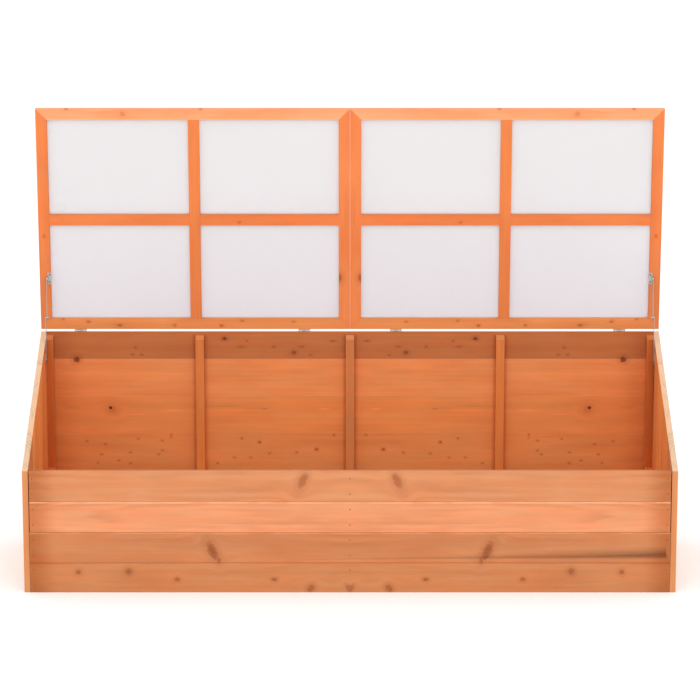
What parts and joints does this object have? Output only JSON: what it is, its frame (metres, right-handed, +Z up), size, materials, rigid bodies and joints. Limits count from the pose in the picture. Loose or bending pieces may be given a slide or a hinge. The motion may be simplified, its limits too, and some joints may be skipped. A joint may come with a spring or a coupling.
{
  "type": "cold frame",
  "caption": "Long planked wooden cold frame with a sloping top, no floor, and glazed lids hinged along the back wall and propped by folding stays.",
  "frame": {"origin": "on the ground, at the middle of the footprint with both lids open", "axes": "+X along the box to its right-hand end seen from the front, +Y from the front wall to the back wall, +Z up"},
  "size_m": [1.8, 0.5908, 1.2795],
  "materials": {
    "fir": "orange-brown stained fir, matt",
    "polycarbonate": "milky translucent sheet",
    "zinc_steel": "zinc-plated"
  },
  "bodies": {
    "box": {"back_batten_left": "fir", "back_batten_middle": "fir", "back_batten_right": "fir", "back_board_1": "fir", "back_board_2": "fir", "back_board_3": "fir", "back_board_4": "fir", "back_board_5": "fir", "back_board_6": "fir", "board_nails": "zinc_steel", "box_hinge_leaves": "zinc_steel", "box_screws": "zinc_steel", "front_batten": "fir", "front_board_1": "fir", "front_board_2": "fir", "front_board_3": "fir", "front_board_4": "fir", "hinge_pins": "zinc_steel", "left_front_post": "fir", "left_rear_post": "fir", "left_side_board_1": "fir", "left_side_board_2": "fir", "left_side_board_3": "fir", "left_side_board_4": "fir", "left_side_rails": "fir", "left_stay_bracket": "zinc_steel", "right_front_post": "fir", "right_rear_post": "fir", "right_side_board_1": "fir", "right_side_board_2": "fir", "right_side_board_3": "fir", "right_side_board_4": "fir", "right_side_rails": "fir", "right_stay_bracket": "zinc_steel"},
    "left_lid": {"left_lid_cross_muntin": "fir", "left_lid_front_rail": "fir", "left_lid_hinge_leaves": "zinc_steel", "left_lid_inner_stile": "fir", "left_lid_long_muntin": "fir", "left_lid_outer_stile": "fir", "left_lid_panes": "polycarbonate", "left_lid_rear_rail": "fir", "left_lid_screws": "zinc_steel", "left_stay_lid_plate": "zinc_steel"},
    "left_stay_lower": {"left_stay_lower_arm": "zinc_steel"},
    "left_stay_upper": {"left_stay_upper_arm": "zinc_steel"},
    "right_lid": {"right_lid_cross_muntin": "fir", "right_lid_front_rail": "fir", "right_lid_hinge_leaves": "zinc_steel", "right_lid_inner_stile": "fir", "right_lid_long_muntin": "fir", "right_lid_outer_stile": "fir", "right_lid_panes": "polycarbonate", "right_lid_rear_rail": "fir", "right_lid_screws": "zinc_steel", "right_stay_lid_plate": "zinc_steel"},
    "right_stay_lower": {"right_stay_lower_arm": "zinc_steel"},
    "right_stay_upper": {"right_stay_upper_arm": "zinc_steel"}
  },
  "joints": [
    {"name": "left_lid_hinge", "type": "hinge", "parent": "box", "child": "left_lid", "pos_m": [-0.45, 0.27763, 0.62553], "axis": [1, 0, 0], "range_deg": [0, 112.43]},
    {"name": "left_stay_lower_pivot", "type": "hinge", "parent": "box", "child": "left_stay_lower", "pos_m": [-0.88145, 0.21963, 0.55], "axis": [1, 0, 0], "range_deg": [0, 164.1]},
    {"name": "left_stay_upper_pivot", "type": "hinge", "parent": "left_lid", "child": "left_stay_upper", "pos_m": [-0.87825, 0.25984, 0.78082], "axis": [1, 0, 0], "range_deg": [-89.4, 0]},
    {"name": "right_lid_hinge", "type": "hinge", "parent": "box", "child": "right_lid", "pos_m": [0.45, 0.27763, 0.62553], "axis": [1, 0, 0], "range_deg": [0, 112.43]},
    {"name": "right_stay_lower_pivot", "type": "hinge", "parent": "box", "child": "right_stay_lower", "pos_m": [0.88145, 0.21963, 0.55], "axis": [1, 0, 0], "range_deg": [0, 164.1]},
    {"name": "right_stay_upper_pivot", "type": "hinge", "parent": "right_lid", "child": "right_stay_upper", "pos_m": [0.87825, 0.25984, 0.78082], "axis": [1, 0, 0], "range_deg": [-89.4, 0]}
  ],
  "couplings": [
    {"joint": "left_stay_lower_pivot", "follows": "left_lid_hinge", "ratio": 1.4591},
    {"joint": "left_stay_upper_pivot", "follows": "left_lid_hinge", "ratio": -0.79478},
    {"joint": "right_stay_lower_pivot", "follows": "right_lid_hinge", "ratio": 1.4591},
    {"joint": "right_stay_upper_pivot", "follows": "right_lid_hinge", "ratio": -0.79478}
  ]
}
